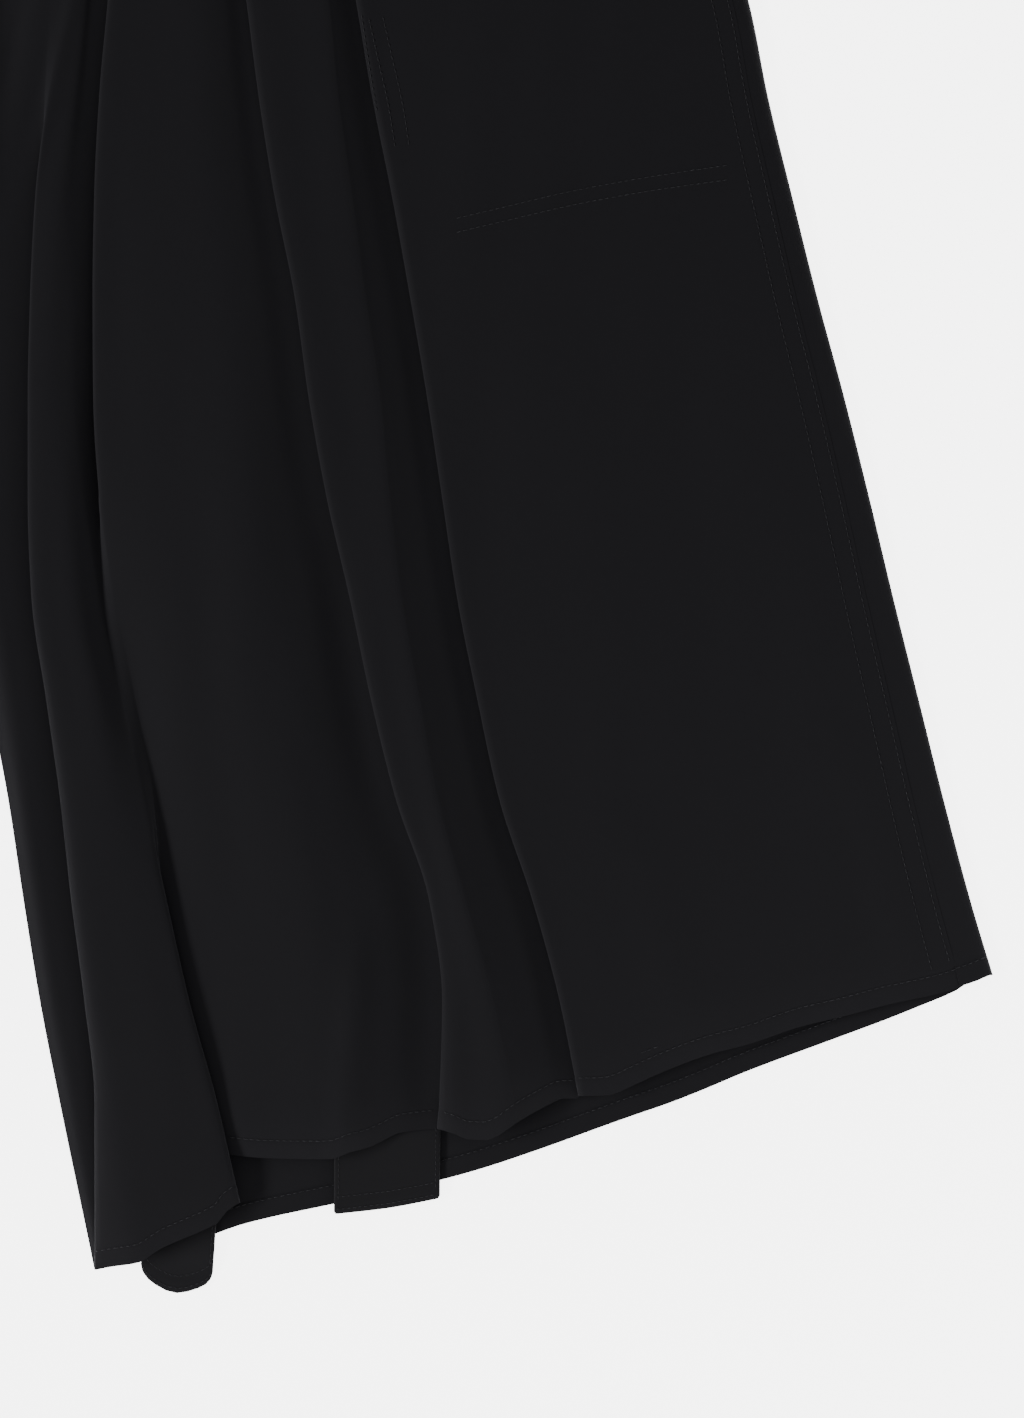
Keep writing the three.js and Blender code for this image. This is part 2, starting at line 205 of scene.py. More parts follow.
# fmt: off
FOLDS = {
    "side": FoldLine(697.5,
        (265, 358, 408.5, 418.8, 431, 443.5, 457, 469.5, 481.5, 494, 506.5, 519.8, 531),
        (4.8, 4.2, 3.4, 3.2, 3.1, 3, 3, 3)),
    "outer_edge": FoldLine(757.5,
        (160, 187, 213, 221.5, 231.5, 240.5, 249, 256.5, 264, 274, 285, 301.5, 315, 324.5),
        (8.8, 9.1, 9.3, 9.2, 8.9, 8.7, 8.7, 8.7, 8.5)),
    "second_crease": FoldLine(776,
        (144, 171, 199, 204, 211, 217.5, 225, 229.5, 235.5, 244.5, 253.5, 266.5, 280, 290, 293),
        (8, 8.2, 8.6, 9.4, 10.4, 11.4, 12, 12, 11.2)),
    "second_edge": FoldLine(774,
        (120, 138, 158.5, 165, 173, 183, 190, 199, 210.5, 221, 233.5, 250, 256.5, 255, 254),
        (8.8, 9.4, 9.8, 10.2, 10.6, 10.8, 10.6, 10, 8.6)),
    "wide_middle": FoldLine(789,
        (114, 118, 124, 126, 128, 130, 136, 142, 150, 160, 171, 182, 190, 194, 198),
        (8.4, 8.8, 9.6, 10, 10.4, 10.4, 10, 9.4, 8)),
    "wide_left": FoldLine(788,
        (111, 109, 103, 100, 97, 96, 99, 103, 112, 124, 134, 143, 152, 158, 163),
        (8.6, 8.9, 9.6, 10, 9.9, 8.9, 7.8, 7.3, 6.6)),
    "valley_panel": FoldLine(790,
        (108, 100, 90, 85.5, 83, 82.2, 82.5, 85.5, 93, 103, 112, 115, 124, 136, 143),
        (8.7, 9, 9.6, 9.8, 9.5, 6.8, 5, 5.4, 5.2)),
    "valley_roll": FoldLine(811,
        (116, 109, 100, 96, 92, 90.5, 88, 85.5, 87, 96, 107.5, 118.5, 129.8, 143.5, 155),
        (5, 4.4, 3.4, 3.2, 3.2, 4.6, 8.6, 9, 7.6)),
    "roll_right": FoldLine(825,
        (104, 93, 82, 78, 74, 72, 70, 71, 75, 85, 95, 105, 115, 126, 134),
        (5.4, 5.4, 5.6, 6.8, 8.8, 10.4, 10.8, 10.8, 9)),
    "roll_crown": FoldLine(838,
        (98, 90, 78, 72, 65, 61.5, 60, 60.5, 63, 72, 81, 89, 97, 105, 112),
        (5.8, 6, 6.8, 8.8, 10.4, 11, 11.4, 11.2, 9.2)),
    "roll_left": FoldLine(844.5,
        (92, 84, 70, 60, 53.5, 51, 49.9, 49.9, 51.8, 59, 66, 71.5, 78, 83, 83),
        (6, 6.2, 6.7, 8.4, 9.6, 9.8, 9.6, 9, 5.4)),
    "inner_valley": FoldLine(843,
        (82, 74, 61, 58, 57, 56, 54.5, 55, 57, 65, 72, 78, 84.5, 89, 91),
        (5.8, 6, 6.3, 5.2, 4.4, 4, 3.8, 3.4, 3)),
    "inner_flank": FoldLine(843,
        (62, 58, 50, 46, 42, 39, 38, 38, 41, 48, 54.5, 61.5, 69, 78, 87.5),
        (6, 6.3, 6.7, 6.3, 5.8, 5.2, 4.7, 4.2, 3.2)),
    "inner_roll": FoldLine(843.5,
        (34, 34, 32, 30, 27.5, 25, 24, 26, 31, 39, 46.5, 54, 61.5, 71, 85),
        (6.2, 6.8, 7.3, 7, 6.2, 5.4, 4.6, 4, 2.8)),
    "inner_edge": FoldLine(844.5,
        (-0.4, -0.4, -0.4, -0.4, -0.4, -0.4, 2, 11, 20.3, 29.7, 39.3, 46.9, 55, 64.8, 82.5),
        (5.6, 6.4, 7, 7, 5, 2, 1.6, 1.4, 1.4)),
}
# fmt: on

ROLL_FLANK = Run((210, 310, 510, 560, 710, 760, 810, 844), (3, 2, 2.5, 3, 4.5, 7, 11, 16))
HEMS = {
    "side_panel": Run((324.5, 338.5, 351, 360.5, 389, 410, 435, 456, 479, 506.5, 531),
                      (757.5, 757.2, 752.5, 748, 737, 731.5, 723, 718, 712, 706, 697.5)),
    "second_panel": Run((254, 260.5, 265, 270, 279.5, 286, 292, 299.5, 315),
                        (774, 775.5, 777.5, 779.3, 779.3, 776, 771.5, 767, 759)),
    "wide_panel": Run((143, 166, 185, 200.5, 210, 218.5, 226.5, 235, 253.5, 270),
                      (786, 788.5, 789, 789, 785.5, 783.5, 780, 776, 774, 773)),
    "roll": Run((82.5, 90, 105, 115, 140, 151, 154, 156),
                (844.5, 843, 840.5, 834, 823, 816.5, 811, 810)),
}  # fmt: skip
BACK_HEM = Run(
    (82.5, 140, 155, 175, 201.5, 255, 275, 305, 345, 375, 410, 445, 485, 531),
    (844.5, 828, 822.5, 817.5, 812, 800, 794.5, 784.5, 770, 759.5, 745, 732, 717, 697.5),
)
POCKET_OUTLINE = (
    ((219.5, 220), (224, 240), (229, 262), (233, 287)),
    ((226.5, 219), (231, 239), (236, 261), (240, 286)),
    ((263, 320), (290, 313.5), (322, 306), (360, 299), (399, 293)),
    ((263, 327), (290, 320.5), (322, 313), (360, 306), (401, 300)),
    ((216, 218), (218.5, 236), (221.5, 254), (224, 269)),
)


@dataclass(frozen=True)
class Crease:
    """A soft ridge or trough pressed into the cloth along a straight line.

    Attributes:
        start: x and drop of its first end.
        end: x and drop of its other end.
        width: how far it spreads to each side.
        height: its height, below 0 for a trough.
    """

    start: tuple[float, float]
    end: tuple[float, float]
    width: float
    height: float

    def lift(self, x: np.ndarray, drop: np.ndarray) -> np.ndarray:
        """How much it raises the cloth at each place.

        Args:
            x: the places' x.
            drop: their drop.

        Returns:
            The heights.
        """
        ax, ay = self.start
        along = np.array([self.end[0] - ax, self.end[1] - ay])
        length = float(np.hypot(*along))
        ux, uy = along / length
        share = ((x - ax) * ux + (drop - ay) * uy) / length
        off = (x - ax) * uy - (drop - ay) * ux
        ends = ease(share / 0.3) * ease((1 - share) / 0.3)
        return self.height * ends * bump(off, 0, self.width)


LEFT_CREASES = (
    Crease((150, 250), (170, 560), 14, 0.5),
    Crease((128, 420), (160, 700), 10, -0.4),
    Crease((86, 150), (44, 330), 4.5, 0.9),
    Crease((66, 110), (26, 300), 6, -1.5),
    Crease((50, 130), (30, 250), 5, -1.7),
    Crease((40, 200), (14, 420), 5, 0.9),
    Crease((30, 300), (8, 470), 4, -0.8),
    Crease((300, 330), (360, 620), 26, 0.6),
    Crease((420, 420), (455, 640), 16, 0.5),
    Crease((345, 600), (385, 745), 15, 0.8),
    Crease((452, 560), (492, 705), 9, 0.7),
    Crease((210, 420), (232, 640), 7, 0.4),
    Crease((215, 660), (206, 815), 8, 2.2),
    Crease((262, 700), (262, 800), 5, 0.8),
    Crease((120, 640), (146, 790), 6, 0.7),
    Crease((184, 560), (214, 720), 8, -0.5),
)
RIGHT_CREASES = (
    Crease((140, 220), (165, 520), 12, 0.6),
    Crease((132, 480), (172, 760), 11, -0.5),
    Crease((58, 130), (24, 350), 8, 1.0),
    Crease((40, 60), (8, 230), 6, -1.2),
    Crease((310, 280), (372, 560), 22, 0.7),
    Crease((400, 460), (446, 690), 18, 0.6),
    Crease((350, 560), (372, 740), 12, 0.9),
    Crease((204, 470), (236, 690), 7, 0.5),
    Crease((240, 640), (252, 790), 6, 1.0),
    Crease((122, 600), (150, 770), 7, 0.8),
)


def centripetal(points: np.ndarray, counts: Sequence[int]) -> np.ndarray:
    """Draws smooth curves through rows of key points.

    Args:
        points: an array of rows, key points and 3 numbers.
        counts: how many steps each stretch between two key points is cut into.

    Returns:
        An array of rows, places across and 3 numbers.
    """
    first = 2 * points[:, :1] - points[:, 1:2]
    last = 2 * points[:, -1:] - points[:, -2:-1]
    p = np.concatenate([first, points, last], axis=1)
    gap = np.sqrt(np.maximum(np.linalg.norm(np.diff(p, axis=1), axis=2), 1e-4))[..., None]
    out = []
    for k, count in enumerate(counts):
        p0, p1, p2, p3 = (p[:, k + n] for n in range(4))
        g0, g1, g2 = (gap[:, k + n] for n in range(3))
        m1 = g1 * ((p1 - p0) / g0 - (p2 - p0) / (g0 + g1) + (p2 - p1) / g1)
        m2 = g1 * ((p2 - p1) / g1 - (p3 - p1) / (g1 + g2) + (p3 - p2) / g2)
        out.extend(blend(s, p1, p2, m1, m2) for s in np.arange(count) / count)
    out.append(p[:, -2])
    return np.stack(out, axis=1)


def distances(points: np.ndarray, axis: int = 0) -> np.ndarray:
    """How far each point is from the first one, along the points.

    Args:
        points: a line or a grid of points.
        axis: the direction to measure in: 0 down the rows, 1 across them.

    Returns:
        The distances.
    """
    steps = np.linalg.norm(np.diff(points, axis=axis), axis=-1)
    return np.concatenate([np.zeros_like(steps.take([0], axis)), np.cumsum(steps, axis)], axis)


def from_hem(grid: np.ndarray) -> np.ndarray:
    """The distance along the cloth from each point to its panel's hem."""
    run = distances(grid)
    return run[-1] - run


def soft_noise(x: np.ndarray, drop: np.ndarray, seed: int) -> np.ndarray:
    """An uneven, smooth ripple.

    Args:
        x: the places' x.
        drop: their drop.
        seed: picks the ripple, which is the same on each run.

    Returns:
        Heights between about -1 and 1.
    """
    rng = np.random.default_rng(seed)
    total = np.zeros_like(x)
    for _ in range(14):
        angle = rng.uniform(-0.5, 0.5)
        length = rng.uniform(28, 110)
        phase = rng.uniform(0, 2 * math.pi)
        across = x * math.cos(angle) + drop * math.sin(angle) * 0.35
        bend = 0.8 * np.sin(drop / (length * 2.2) + phase)
        total += np.sin(across * 2 * math.pi / length + phase + bend)
    return total / 5


def add_piece(
    mesh: bpy.types.Mesh, flat: np.ndarray, finish: "ClothFinish"
) -> bpy.types.Object:
    """Dresses a mesh and makes it a piece that rides on the body.

    Args:
        mesh: the mesh, which gives the piece its name.
        flat: where each of its points lies on the flat cloth, in metres.
        finish: its finish.

    Returns:
        The new object.
    """
    loops = np.empty(len(mesh.loops), np.int32)
    mesh.loops.foreach_get("vertex_index", loops)
    grain = mesh.uv_layers.new(name="grain")
    grain.data.foreach_set("uv", flat[loops].reshape(-1).astype(np.float32))
    mesh.shade_smooth()
    mesh.materials.append(finish.material())
    obj = bpy.data.objects.new(mesh.name, mesh)
    bpy.context.scene.collection.objects.link(obj)
    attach(obj, "root")
    return obj


@dataclass
class Sheet:
    """A sheet of cloth.

    Attributes:
        grid: points on its middle, in rows that run across it, from its top to its hem.
        thickness: its plain thickness.
        upper: what its upper face stands out more, such as at a hem's turning.
        lower: the same for its lower face.
    """

    grid: np.ndarray
    thickness: float
    upper: Number = 0.0
    lower: Number = 0.0

    def normals(self) -> np.ndarray:
        """Works out the directions out of the cloth's upper face.

        Returns:
            A direction of length 1 for each point.
        """
        n = np.cross(np.gradient(self.grid, axis=1), np.gradient(self.grid, axis=0))
        n /= np.maximum(np.linalg.norm(n, axis=2, keepdims=True), 1e-9)
        return -n if n[..., 2].mean() < 0 else n

    def cut(self, row: int | None = None) -> tuple[float, float, float]:
        """The cut of the flat sheet.

        Args:
            row: the row to measure the width along, or None for the longest one.

        Returns:
            Its width, its length and its area, in metres and square metres.
        """
        u, v = distances(self.grid, 1), distances(self.grid)
        a = self.grid[1:, 1:] - self.grid[:-1, :-1]
        b = self.grid[1:, :-1] - self.grid[:-1, 1:]
        area = float(np.linalg.norm(np.cross(a, b), axis=2).sum() / 2)
        width = float(u[:, -1].max() if row is None else u[row, -1])
        length = float(v[-1].max())
        return width * MM, length * MM, min(area, width * length) * MM * MM

    def along_hem(self, above: float) -> np.ndarray:
        """Finds the points across the sheet that lie at one distance from its hem.

        Args:
            above: the distance, along the cloth.

        Returns:
            The points.
        """
        reach = from_hem(self.grid)
        return np.array([
            [np.interp(-above, -reach[:, j], self.grid[:, j, k]) for k in range(3)]
            for j in range(self.grid.shape[1])
        ])

    def piece(self, name: str, finish: "ClothFinish", layer: Layer) -> bpy.types.Object:
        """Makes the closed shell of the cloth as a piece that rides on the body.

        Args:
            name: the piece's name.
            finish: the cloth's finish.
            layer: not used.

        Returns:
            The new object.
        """
        rows, across = self.grid.shape[:2]
        n = self.normals()
        half = np.full((rows, across), self.thickness / 2)
        up, low = half + self.upper, half + self.lower
        top = self.grid + n * up[..., None]
        base = self.grid - n * low[..., None]
        base[..., 2] = np.maximum(base[..., 2], LOWEST)
        points = np.concatenate([top.reshape(-1, 3), base.reshape(-1, 3)]) * MM
        index = np.arange(rows * across).reshape(rows, across)
        a, b, c, d = index[:-1, :-1], index[1:, :-1], index[1:, 1:], index[:-1, 1:]
        upper = np.stack([a, b, c, d], axis=2).reshape(-1, 4)
        lower = np.stack([a, d, c, b], axis=2).reshape(-1, 4) + rows * across
        rim = np.concatenate([index[0], index[1:, -1], index[-1, -2::-1], index[-2:0:-1, 0]])
        after = np.roll(rim, -1)
        edge = np.stack([rim, after, after + rows * across, rim + rows * across], axis=1)
        faces = np.concatenate([upper, lower, edge])
        first = points[faces[:, 1]] - points[faces[:, 0]]
        second = points[faces[:, 2]] - points[faces[:, 0]]
        volume = np.einsum("ij,ij->", points[faces[:, 0]], np.cross(first, second))
        if volume < 0:
            faces = faces[:, ::-1]
        mesh = bpy.data.meshes.new(name)
        mesh.from_pydata(points.tolist(), [], faces.tolist())
        flat = np.stack([distances(self.grid, 1), distances(self.grid)], axis=-1).reshape(-1, 2) * MM
        obj = add_piece(mesh, np.concatenate([flat, flat]), finish)
        mesh.set_sharp_from_angle(angle=RIM_ANGLE)
        return obj


class Value:
    """A number in a material, with arithmetic that adds Math nodes."""

    def __init__(self, nodes: "Nodes", socket: bpy.types.NodeSocket) -> None:
        """Wraps a socket of a material's nodes."""
        self.nodes = nodes
        self.socket = socket

    def _math(self, operation: str, a: "Value | float", b: "Value | float") -> "Value":
        """Adds one Math node on two numbers."""
        return self.nodes.add("ShaderNodeMath", {"operation": operation}, {0: a, 1: b}).value(0)

    def __add__(self, other: "Value | float") -> "Value":
        """The sum."""
        return self._math("ADD", self, other)

    __radd__ = __add__

    def __mul__(self, other: "Value | float") -> "Value":
        """The product."""
        return self._math("MULTIPLY", self, other)

    __rmul__ = __mul__

    def wave(self) -> "Value":
        """The sine."""
        return self._math("SINE", self, 0.0)


class Added:
    """One node that has been added, with its outputs."""

    def __init__(self, nodes: "Nodes", node: bpy.types.Node) -> None:
        """Wraps a node."""
        self.nodes = nodes
        self.node = node

    def value(self, output: int | str = 0) -> Value:
        """An output as a number for arithmetic."""
        return Value(self.nodes, self.node.outputs[output])

    def link(self, output: int | str = 0) -> bpy.types.NodeSocket:
        """An output as a colour, vector or shader to link."""
        return self.node.outputs[output]


class Nodes:
    """A material's nodes."""

    def __init__(self, material: bpy.types.Material) -> None:
        """Clears the material's nodes."""
        material.use_nodes = True
        self.tree = material.node_tree
        self.tree.nodes.clear()

    def add(self, kind: str, settings: dict | None = None, inputs: dict | None = None) -> Added:
        """Adds a node.

        Args:
            kind: the node's type.
            settings: its properties, set before its sockets.
            inputs: socket names or numbers, with values, numbers of the material or links.

        Returns:
            The new node.
        """
        node = self.tree.nodes.new(kind)
        for key, setting in (settings or {}).items():
            setattr(node, key, setting)
        for key, given in (inputs or {}).items():
            socket = given.socket if isinstance(given, Value) else given
            if isinstance(socket, bpy.types.NodeSocket):
                self.tree.links.new(socket, node.inputs[key])
            else:
                node.inputs[key].default_value = socket
        return Added(self, node)


@dataclass(frozen=True)
class ClothFinish:
    """Plain woven black cloth.

    Attributes:
        name: the finish's name.
        colour: its main colour.
        sheen: how much its nap catches light at a slant.
        rough: its roughness.
        pitch: millimetres from thread to thread.
        relief: how deep the weave is.
    """

    name: str
    colour: tuple[float, float, float]
    sheen: float = 0.15
    rough: float = 0.82
    pitch: float = 0.55
    relief: float = 0.35
    made: dict = field(default_factory=dict, compare=False, repr=False)

    def material(self) -> bpy.types.Material:
        """The finish's material, made once."""
        if self.name not in self.made:
            self.made[self.name] = self._make()
        return self.made[self.name]

    def _make(self) -> bpy.types.Material:
        """Builds the weave, the slight unevenness of colour and the nap.

        Returns:
            The material.
        """
        material = bpy.data.materials.new(self.name)
        n = Nodes(material)
        grain = n.add("ShaderNodeUVMap", {"uv_map": "grain"}).link("UV")
        turn = 2 * math.pi / (self.pitch * MM)
        split = n.add("ShaderNodeSeparateXYZ", None, {0: grain})
        warp = (split.value("X") * turn).wave()
        weft = (split.value("Y") * turn).wave()
        place = n.add("ShaderNodeTexCoord").link("Object")

        def noise(scale: float, detail: float, roughness: float) -> Value:
            """An uneven pattern over the garment."""
            inputs = {"Vector": place, "Scale": scale, "Detail": detail, "Roughness": roughness}
            return n.add("ShaderNodeTexNoise", None, inputs).value("Fac")

        cloudy = noise(22.0, 3.0, 0.55)
        slub = noise(420.0, 2.0, 0.6)
        puckers = noise(70.0, 2.0, 0.5)
        threads = warp * weft * 0.5 + 0.5
        shade = cloudy * 0.45 + slub * 0.3 + threads * 0.25
        dark, light = ((*(c * tone for c in self.colour), 1.0) for tone in (0.8, 1.2))
        colour = n.add("ShaderNodeMix", {"data_type": "RGBA"}, {0: shade, 6: dark, 7: light}).link(2)
        height = threads * (self.relief * 0.12) + slub * 0.1 + puckers * 0.5
        relief = n.add("ShaderNodeBump", None, {"Height": height, "Distance": 0.0006, "Strength": 0.5})
        surface = n.add("ShaderNodeBsdfPrincipled", None, {
            "Base Color": colour,
            "Roughness": cloudy * 0.1 + (self.rough - 0.05),
            "Normal": relief.link("Normal"),
            "Specular IOR Level": 0.16,
            "Sheen Weight": self.sheen,
            "Sheen Roughness": 0.45,
            "Sheen Tint": NAP,
        })
        n.add("ShaderNodeOutputMaterial", None, {"Surface": surface.link("BSDF")})
        return material


SHELL = ClothFinish("black_shell_cloth", BLACK)
BAND = ClothFinish("black_band_cloth", BLACK)
POCKETING = ClothFinish("black_pocketing", (0.0080, 0.0078, 0.0090), pitch=0.4)
TAPE = ClothFinish("black_tie_cloth", (0.0096, 0.0092, 0.0108))
# The thread's colour is more than twice as light as the cloth's black: painted sheen on the stitches,
# added to its shader sheen and lower roughness.
THREAD = ClothFinish("black_sewing_thread", (0.0200, 0.0196, 0.0220), sheen=0.35, rough=0.55, pitch=0.2)


@dataclass
class Stitching:
    """Rows of sewn stitches that lie on the cloth below them.

    Attributes:
        cloth: the pieces of cloth.
        length: a stitch's length.
        gap: from one stitch to the next.
        radius: the thread's radius.
        step: the most that a stitch climbs from one end to the other.
        covered: how far other cloth lies over the row where it hides a stitch.
    """

    cloth: Sequence[bpy.types.Object]
    length: float = 2.5
    gap: float = 0.8
    radius: float = 0.2
    step: float = 1.5
    covered: float = 1.2

    def __post_init__(self) -> None:
        """Gathers the cloth's faces to lay stitches on."""
        self.trees = []
        for obj in self.cloth:
            mesh = obj.data
            points = [v.co.copy() for v in mesh.vertices]
            self.trees.append(BVHTree.FromPolygons(points, [tuple(p.vertices) for p in mesh.polygons]))
        self.points: list[np.ndarray] = []
        self.faces: list[np.ndarray] = []
        self.count = 0

    def onto(self, x: float, y: float) -> tuple[Vector, Vector] | None:
        """The highest place on the cloth at x and y in metres.

        Args:
            x: the frame's x.
            y: the frame's y.

        Returns:
            The place and the direction out of the cloth there, or None where there is no cloth.
        """
        best = None
        for tree in self.trees:
            place, normal, _, _ = tree.ray_cast(Vector((x, y, 0.2)), Vector((0, 0, -1)))
            if place is not None and (best is None or place.z > best[0].z):
                best = (place, normal)
        return best

    def row(self, path: np.ndarray, near: bool = False) -> None:
        """Sews one row.

        Args:
            path: the points along it, in millimetres.
            near: whether to leave out the stitches that other cloth covers, by the heights in the path.
        """
        path = path * MM
        run = distances(path)
        pitch = (self.length + self.gap) * MM
        half = self.length * MM / 2
        for k in range(int(run[-1] / pitch)):
            ends = [(k + 0.5) * pitch - half, (k + 0.5) * pitch + half]
            places = [[float(np.interp(e, run, path[:, axis])) for axis in range(3)] for e in ends]
            found = [self.onto(x, y) for x, y, _ in places]
            if None in found or abs(found[0][0].z - found[1][0].z) > self.step * MM:
                continue
            if near and max(f[0].z - p[2] for f, p in zip(found, places)) > self.covered * MM:
                continue
            self._stitch(found[0][0], found[1][0], found[0][1] + found[1][1])

    def _stitch(self, start: Vector, end: Vector, out: Vector) -> None:
        """Adds one stitch: a short thread, thick in the middle, that sinks into the cloth at its ends.

        Args:
            start: where it leaves the cloth.
            end: where it enters it again.
            out: the direction out of the cloth, of any length.
        """
        along = (end - start).normalized()
        out = out.normalized()
        if out.z < 0:
            out = -out
        beside = along.cross(out).normalized()
        radius = self.radius * MM
        points = [start - out * radius * 0.6]
        sides = 6
        rings = ((0.12, 0.62, 0.25), (0.5, 1.0, 0.75), (0.88, 0.62, 0.25))
        for share, size, lift in rings:
            centre = start.lerp(end, share) + out * radius * lift
            for k in range(sides):
                angle = 2 * math.pi * k / sides
                spoke = out * math.sin(angle) * 0.8 + beside * math.cos(angle)
                points.append(centre + spoke * radius * size)
        points.append(end - out * radius * 0.6)
        faces = []
        for k in range(sides):
            n = (k + 1) % sides
            faces.append((0, 1 + n, 1 + k, 1 + k))
            for ring in range(len(rings) - 1):
                a = 1 + ring * sides
                faces.append((a + k, a + n, a + sides + n, a + sides + k))
            last = 1 + (len(rings) - 1) * sides
            faces.append((last + k, last + n, last + sides, last + sides))
        self.points.append(np.array([tuple(p) for p in points]))
        self.faces.append(np.array(faces) + self.count)
        self.count += len(points)

    def piece(self, name: str, layer: Layer) -> bpy.types.Object:
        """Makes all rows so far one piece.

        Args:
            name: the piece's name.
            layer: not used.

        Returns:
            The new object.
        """
        points = np.concatenate(self.points)
        faces = [tuple(dict.fromkeys(f)) for f in np.concatenate(self.faces).tolist()]
        mesh = bpy.data.meshes.new(name)
        mesh.from_pydata(points.tolist(), [], faces)
        return add_piece(mesh, points[:, :2], THREAD)


def declare(
    sheet: Sheet,
    piece: bpy.types.Object,
    rests_on: Sequence[str] = (),
    row: int | None = None,
) -> None:
    """States the flat cut of a piece of cloth.

    Args:
        sheet: its grid, which has the cut's measures.
        piece: the piece itself.
        rests_on: not used.
        row: the row to measure its width along, or None for the longest one.
    """
    width, length, area = sheet.cut(row)
    LOG.info("%s is cut %.0f by %.0f mm, %.3f square metres", piece.name, width / MM, length / MM, area)


@dataclass
class Leg:
    """One leg: its pleated front, its flat back and the pocket bag between them.

    Attributes:
        side: the wearer's side.
        creases: the soft ridges and troughs of its front.
        seed: picks the fine ripples.
        pleats: how far its pleats have swung sideways at the middle of the leg.
        valley: the same for the valley beside the roll.
        roll_height: the height of its inner roll, as a share of the left one's.
        cloth: the thickness of its front and back.
        pocket_cloth: the thickness of its pocket bag.
        layer: from a folded layer of the front to the next one below.
        turn: how far a pressed fold's edge stands out past its layers.
        tucked: how far its top goes under the waistband.
        outer_depth: of the outer pleat's hidden fold, at the waist and at the hem.
        inner_depth: the most that the second pleat's hidden fold is deep.
        pocket_share: the pocket bag's length, as a share of the leg's.
        hem_turning: the height of the turned-up hem.
        top_y: the frame's y at drop 0.
    """

    side: Side
    creases: Sequence[Crease]
    seed: int
    pleats: float = 0.0
    valley: float = 0.0
    roll_height: float = 1.0
    cloth: float = 0.62
    pocket_cloth: float = 0.4
    layer: float = 1.3
    turn: float = 0.35
    tucked: float = 1.5
    outer_depth: tuple[float, float] = (25, 44)
    inner_depth: float = 24
    pocket_share: float = 8 / 18
    hem_turning: float = 10.0
    top_y: float = 0.0

    def lines(self, t: np.ndarray) -> dict[str, np.ndarray]:
        """The leg's fold lines as they have fallen on this side.

        Args:
            t: the shares of the way down.

        Returns:
            Each line's points.
        """
        found = {name: line.down(t) for name, line in FOLDS.items()}
        fallen = np.sin(math.pi * t)
        for name in ("outer_edge", "second_crease", "second_edge"):
            found[name][:, 0] += self.pleats * fallen
        for name in ("wide_left", "valley_panel", "valley_roll", "roll_right"):
            found[name][:, 0] += self.valley * fallen
        for name in ("roll_right", "roll_crown", "roll_left"):
            found[name][:, 2] = mix(4.4, found[name][:, 2], self.roll_height)
        return found

    def seam_inset(self, t: np.ndarray) -> np.ndarray:
        """How far in from the side fold the side seam lies."""
        return mix(3.0, 15.5, t)

    def fold(self, p: np.ndarray, inward: float, rise: np.ndarray | float) -> list[np.ndarray]:
        """A pressed fold that turns over at p.

        Args:
            p: the fold's points.
            inward: the side on which both layers lie.
            rise: from the first layer to the second.

        Returns:
            Three runs of points round the fold.
        """
        level = np.zeros_like(p[:, 0])
        shift = np.stack([level + inward * self.turn, level, level], axis=1)
        lift = np.stack([level, level, level + rise], axis=1)
        return [p + shift, p + lift / 2, p + shift + lift]

    def overlap(self, p: np.ndarray, q: np.ndarray) -> list[np.ndarray]:
        """Two folds that overlap where q is further out than p and open into a valley where it isn't.

        Args:
            p: the edge of the first fold.
            q: the edge of the second one.

        Returns:
            Six runs of points from the first fold to the second.
        """
        closed = np.clip((q[:, 0] - p[:, 0]) / (2 * self.turn), 0, 1)[:, None]
        rise = np.clip(0.4 * (q[:, 2] - p[:, 2]), -self.layer, self.layer)
        step = np.array([[self.turn, 0, 0]])
        up = np.stack([rise * 0, rise * 0, rise], axis=1)

        def corner(a: np.ndarray, b: np.ndarray, share: float, out: float, lift: np.ndarray) -> np.ndarray:
            """One point of a fold, between its place in an open valley and in a pressed fold."""
            return mix(mix(a, b, share), a + step * out + lift, closed)

        return [
            p + step,
            corner(p, q, 0.12, 0, up / 2),
            corner(p, q, 0.36, 1, up),
            corner(q, p, 0.36, -1, -up),
            corner(q, p, 0.12, 0, -up / 2),
            q - step,
        ]

    @staticmethod
    def between(p: np.ndarray, q: np.ndarray, share: Number, z: Number | None = None) -> np.ndarray:
        """Points on the way from p to q.

        Args:
            p: where they are at share 0.
            q: where they are at share 1.
            share: how far along they are.
            z: their height, or None for one in between.

        Returns:
            The points.
        """
        out = mix(p, q, np.broadcast_to(share, len(p))[:, None])
        if z is not None:
            out[:, 2] = z
        return out

    def rising(self, p: np.ndarray, q: np.ndarray, share: Number, low: Number, rise: float) -> np.ndarray:
        """Points a share of the way from p to q that have come up by the share rise from low to q."""
        return self.between(p, q, share, mix(low, q[:, 2], rise))

    def side_panel(self, lines: dict[str, np.ndarray], t: np.ndarray) -> dict[str, np.ndarray]:
        """The side panel's key points, from the side seam to the outer pleat's edge.

        Args:
            lines: the leg's fold lines.
            t: the shares of the way down.

        Returns:
            The points of each key place.
        """
        edge = lines["outer_edge"]
        inset = self.seam_inset(t)
        seam = lines["side"] + np.stack([-inset, SIDE_SLIP * t, SIDE_RISE * inset], axis=1)
        width = seam[:, 0] - edge[:, 0]
        depth = mix(*self.outer_depth, t)

        def short_of(reach: Number, z: Number | None = None) -> np.ndarray:
            """Points at the distance reach from the edge, on the seam's side of it."""
            return self.between(seam, edge, 1 - reach / width, z)

